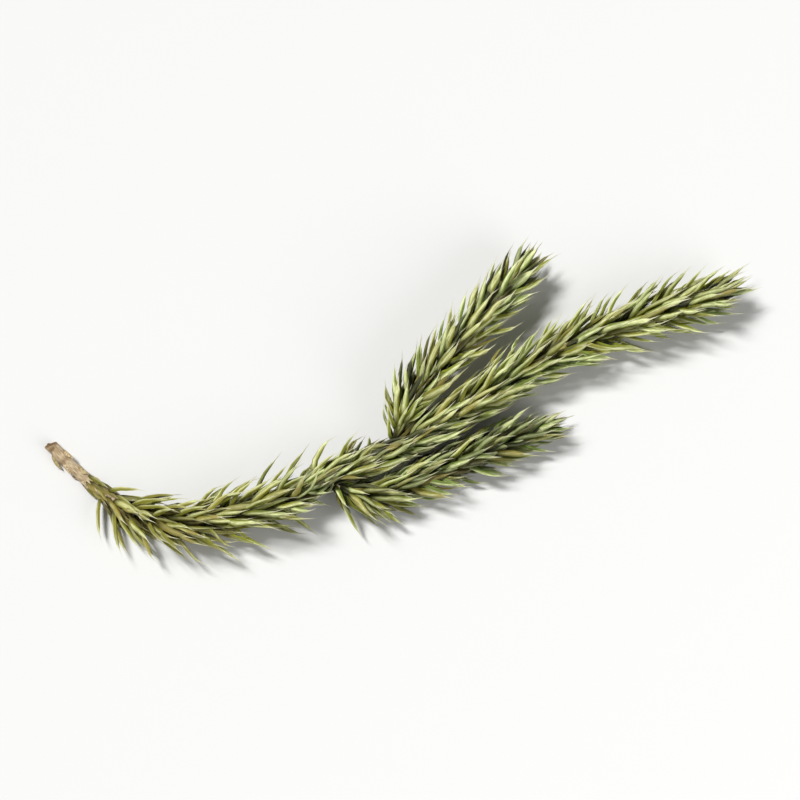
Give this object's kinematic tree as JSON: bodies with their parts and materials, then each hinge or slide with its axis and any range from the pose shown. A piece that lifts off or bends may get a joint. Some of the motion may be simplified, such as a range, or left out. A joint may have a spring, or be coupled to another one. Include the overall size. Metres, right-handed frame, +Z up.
{
  "type": "dried running clubmoss sprig",
  "caption": "Dried sprig of running clubmoss lying on its side, with a bare cut stem and leafy shoots densely set with narrow pointed leaves.",
  "frame": {"origin": "centre of the bounding box, at the level of the surface the sprig lies on", "axes": "+X from the cut end to the growing tip of the main shoot, +Z up from the surface, +Y to the side of the upper side shoot"},
  "size_m": [0.0896, 0.0404, 0.0106],
  "materials": {
    "stem": "matte",
    "leaf": "matte"
  },
  "bodies": {
    "root": {"cut_stem": "stem", "main_shoot": "leaf", "upper_side_shoot": "leaf", "lower_side_shoot": "leaf"}
  },
  "joints": []
}
